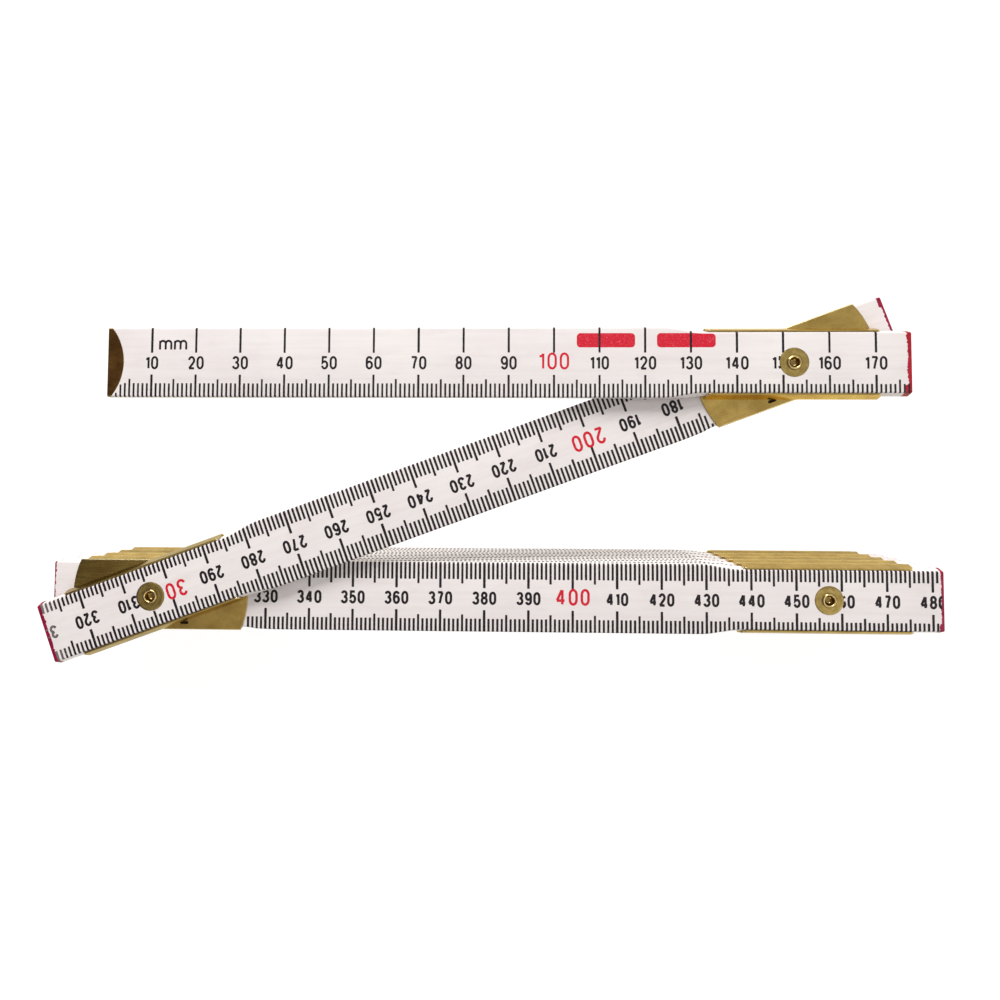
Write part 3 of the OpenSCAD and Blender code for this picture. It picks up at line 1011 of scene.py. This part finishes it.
def turned_part(profile, x, closed, ripple, depth_of=None):
    """Verts, faces and (radius, angle, bore depth) of a part turned about an axis at x.
    ripple(turn, r, z) gives small changes of radius and height."""
    verts, rings = [], []
    for r, z in profile:
        for i in range(SEGMENTS):
            turn = 2 * math.pi * i / SEGMENTS
            dr, dz = ripple(turn, r, z)
            verts.append((x + (r + dr) * math.cos(turn), (r + dr) * math.sin(turn), z + dz))
            rings.append((r, 3.0 * abs(turn - math.pi), depth_of(r, z) if depth_of else 0.0))
    faces = ring_faces(len(profile), SEGMENTS)
    last = (len(profile) - 1) * SEGMENTS
    if closed:
        faces += [(last + i, last + (i + 1) % SEGMENTS, (i + 1) % SEGMENTS, i)
                  for i in range(SEGMENTS)]
    else:
        faces.append(tuple(range(SEGMENTS))[::-1])
        faces.append(tuple(range(last, last + SEGMENTS)))
    return verts, faces, rings


def washer_profile(z0, up):
    """Cross section of a washer whose seat is at z0; up is the side that shows."""
    r0, r1 = SHANK_R + TURN_GAP, WASHER_R
    rim, dish = 0.10, 0.018
    face = [(r1, 0.0), (r1, WASHER_T - rim), (r1 - 0.03, WASHER_T - 0.03),
            (r1 - rim, WASHER_T)]
    face += [(r1 - rim - (r1 - r0 - 0.16) * t, WASHER_T - dish * math.sin(math.pi * t))
             for t in (0.2, 0.4, 0.6, 0.8, 1.0)]
    face += [(r0, WASHER_T - 0.05), (r0, 0.0)]
    if up > 0:
        return [(r, z0 + z) for r, z in face]
    return [(r, z0 - z) for r, z in face[::-1]]


def washers(k, rng):
    """The washers let into the top and the underside of section k."""
    verts, faces, rings = [], [], []
    seats = []
    if k < LEAVES:
        seats.append((STEP, THICK + WASHER_PROUD - WASHER_T, 1))
    if k > 1:
        seats.append((0.0, HEAD_T + SEAT_GAP + WASHER_T, -1))
    for x, seat, up in seats:
        phase, wave = rng.uniform(0, 6.28), rng.uniform(0.006, 0.012)

        def ripple(turn, r, z, phase=phase, wave=wave):
            if SHANK_R + 0.1 < r < WASHER_R - 0.05:
                return 0.0, wave * math.sin(2 * turn + phase) * (r - SHANK_R) / WASHER_R
            return 0.0, 0.0

        v, f, g = turned_part(washer_profile(seat, up), x, True, ripple)
        faces += [tuple(i + len(verts) for i in face) for face in f]
        verts += v
        rings += g
    obj = make_piece(name_of("washer_rings", k), verts, faces, k, MATERIALS["washer"],
                     attributes={"ring": rings})
    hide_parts(name_of("washers", k))


def rivet(k, rng):
    """The tubular rivet held in section k + 1, flat head below and rolled over on top."""
    roll_z = PITCH + THICK + WASHER_PROUD + SEAT_GAP
    roll_mid = CUP_R + ROLL_R
    top_z = roll_z + 0.07          # middle of the rolled end's rounding
    profile = [(HEAD_R - 0.10, 0.0), (HEAD_R - 0.02, 0.04), (HEAD_R, 0.10), (HEAD_R, HEAD_T),
               (SHANK_R, HEAD_T), (SHANK_R, roll_z), (roll_mid + 0.2, roll_z)]
    profile += [(roll_mid + ROLL_R * math.cos(math.radians(a)),
                 top_z + ROLL_R * math.sin(math.radians(a))) for a in range(-10, 181, 19)]
    floor = top_z + ROLL_R - CUP_DEPTH
    profile += [(CUP_R - 0.02, top_z - 0.25), (CUP_R - 0.06, top_z - 0.6),
                (CUP_R - 0.16, floor + 0.28), (CUP_R - 0.42, floor + 0.08), (0.36, floor),
                (0.12, floor + 0.05)]
    phase = rng.uniform(0, 6.28)

    def ripple(turn, r, z):
        if z < top_z - SEAT_GAP:
            return 0.0, 0.0
        return (0.022 * math.sin(3 * turn + phase),
                0.02 * math.sin(2 * turn + 1.7 * phase) * (z - top_z) / ROLL_R)

    def depth_of(r, z):
        return top_z + 0.1 - z if r < CUP_R + 0.02 and z > HEAD_T + 0.2 else 0.0

    verts, faces, rings = turned_part(profile, 0.0, False, ripple, depth_of)
    obj = make_piece(name_of("rivet_tube", k), verts, faces, k + 1, MATERIALS["rivet"],
                     attributes={"ring": rings})
    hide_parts(name_of("rivet", k))


# ---------------------------------------------------------------- stage, light and camera
def build_stage():
    """A wide bright floor just under the rule."""
    mesh = bpy.data.meshes.new("floor")
    radius, sides = 4.0, 64
    angles = [2 * math.pi * i / sides for i in range(sides)]
    verts = [(0, 0, 0)] + [(radius * math.cos(a), radius * math.sin(a), 0) for a in angles]
    faces = [(0, 1 + i, 1 + (i + 1) % sides) for i in range(sides)]
    mesh.from_pydata(verts, [], faces)
    floor = add_object("floor", mesh)
    mat, n, bsdf = node_material("pale_floor")
    # brass sees a dimmer, warmer floor than the camera does
    rays = n.nodes.new("ShaderNodeLightPath").outputs["Is Glossy Ray"]
    glow = n.mix("MIX", rays, (1.0, 1.0, 1.0), (0.72, 0.69, 0.50))
    n.fill(bsdf, {"Base Color": (0.30, 0.30, 0.30), "Roughness": 0.9,
                  "Specular IOR Level": 0.0, "Emission Color": glow,
                  "Emission Strength": 0.86})
    # from below the floor lets the view through
    see_through = n.nodes.new("ShaderNodeMixShader")
    below = n.nodes.new("ShaderNodeNewGeometry").outputs["Backfacing"]
    clear = n.nodes.new("ShaderNodeBsdfTransparent").outputs["BSDF"]
    n.fill(see_through, {"Fac": below, 1: bsdf.outputs["BSDF"], 2: clear})
    n.fill(n.nodes["Material Output"], {"Surface": see_through.outputs["Shader"]})
    mesh.materials.append(mat)
    floor.location.z = CAD_BOX[0].z - 0.05 * MM


def build_lights():
    """A bright room with a dark corner to the left, and soft key and fill lights."""
    world = bpy.data.worlds.new("studio")
    bpy.context.scene.world = world
    n = Nodes(world)
    direction = n.split(n.nodes.new("ShaderNodeTexCoord").outputs["Generated"])
    sideways = n.remap(direction["X"], -1.0, 1.0, 0.0, 1.0)
    room = n.ramp(sideways, [(0.0, (0.30, 0.28, 0.26)), (0.16, (0.02, 0.015, 0.01)),
                             (0.250, (0.012, 0.008, 0.004)), (0.265, (0.24, 0.21, 0.18)),
                             (0.290, (0.66, 0.62, 0.58)), (0.33, (0.78, 0.76, 0.74)),
                             (0.62, (0.86, 0.86, 0.86)), (0.68, (0.80, 0.80, 0.80)),
                             (0.74, (0.64, 0.64, 0.64)), (1.0, (0.75, 0.75, 0.75))])
    # the room itself is only seen in reflections; the camera sees plain white
    strength = 0.80
    white = (1 / strength,) * 3
    seen = n.nodes.new("ShaderNodeLightPath").outputs["Is Camera Ray"]
    n.fill(n.nodes["Background"], {"Color": n.mix("MIX", seen, room, white),
                                   "Strength": strength})
    middle = (CAD_BOX[0] + CAD_BOX[1]) / 2

    def area(name, offset, size, power):
        light = bpy.data.lights.new(name, "AREA")
        light.size = size
        light.energy = power
        obj = add_object(name, light)
        obj.location = middle + Vector(offset)
        obj.rotation_mode = "QUATERNION"
        obj.rotation_quaternion = (middle - obj.location).to_track_quat("-Z", "Y")

    area("key", (-0.15, 0.80, 0.55), 0.5, 9.3)
    area("fill", (0.65, -0.35, 0.6), 0.6, 1.0)


CAMERA_PLACE = (83.305, 28.951, 161.542)      # from joint 2|3 and the top of section 3
CAMERA_TURN = (2.496, 1.655, 0.264)           # degrees about x, y and z, from straight down


def build_camera():
    """A close wide-angle view from above, near the middle of the stack."""
    data = bpy.data.cameras.new("camera")
    data.sensor_width = 36.0
    data.lens = 25.46
    data.shift_y = -0.0613
    data.clip_start = 0.01
    cam = add_object("camera", data)
    pivot = JOINTS["fold_02_03"] / MM
    pivot.z = node_box("section_03")[1].z
    cam.location = (pivot + Vector(CAMERA_PLACE)) * MM
    turn = [math.radians(a) for a in CAMERA_TURN]
    rot = (Matrix.Rotation(turn[2], 3, "Z") @ Matrix.Rotation(turn[1], 3, "Y")
           @ Matrix.Rotation(turn[0], 3, "X"))
    cam.rotation_mode = "QUATERNION"
    cam.rotation_quaternion = rot.to_quaternion()
    bpy.context.scene.camera = cam


random_source = random.Random(7)
for leaf in range(1, LEAVES + 1):
    wood(leaf)
    millimetre_face(leaf, random_source)
    inch_face(leaf, random_source)
    washers(leaf, random_source)
    if leaf < LEAVES:
        rivet(leaf, random_source)
dress_cad_nodes()
build_stage()
build_lights()
build_camera()
bpy.context.scene.view_settings.view_transform = "Standard"
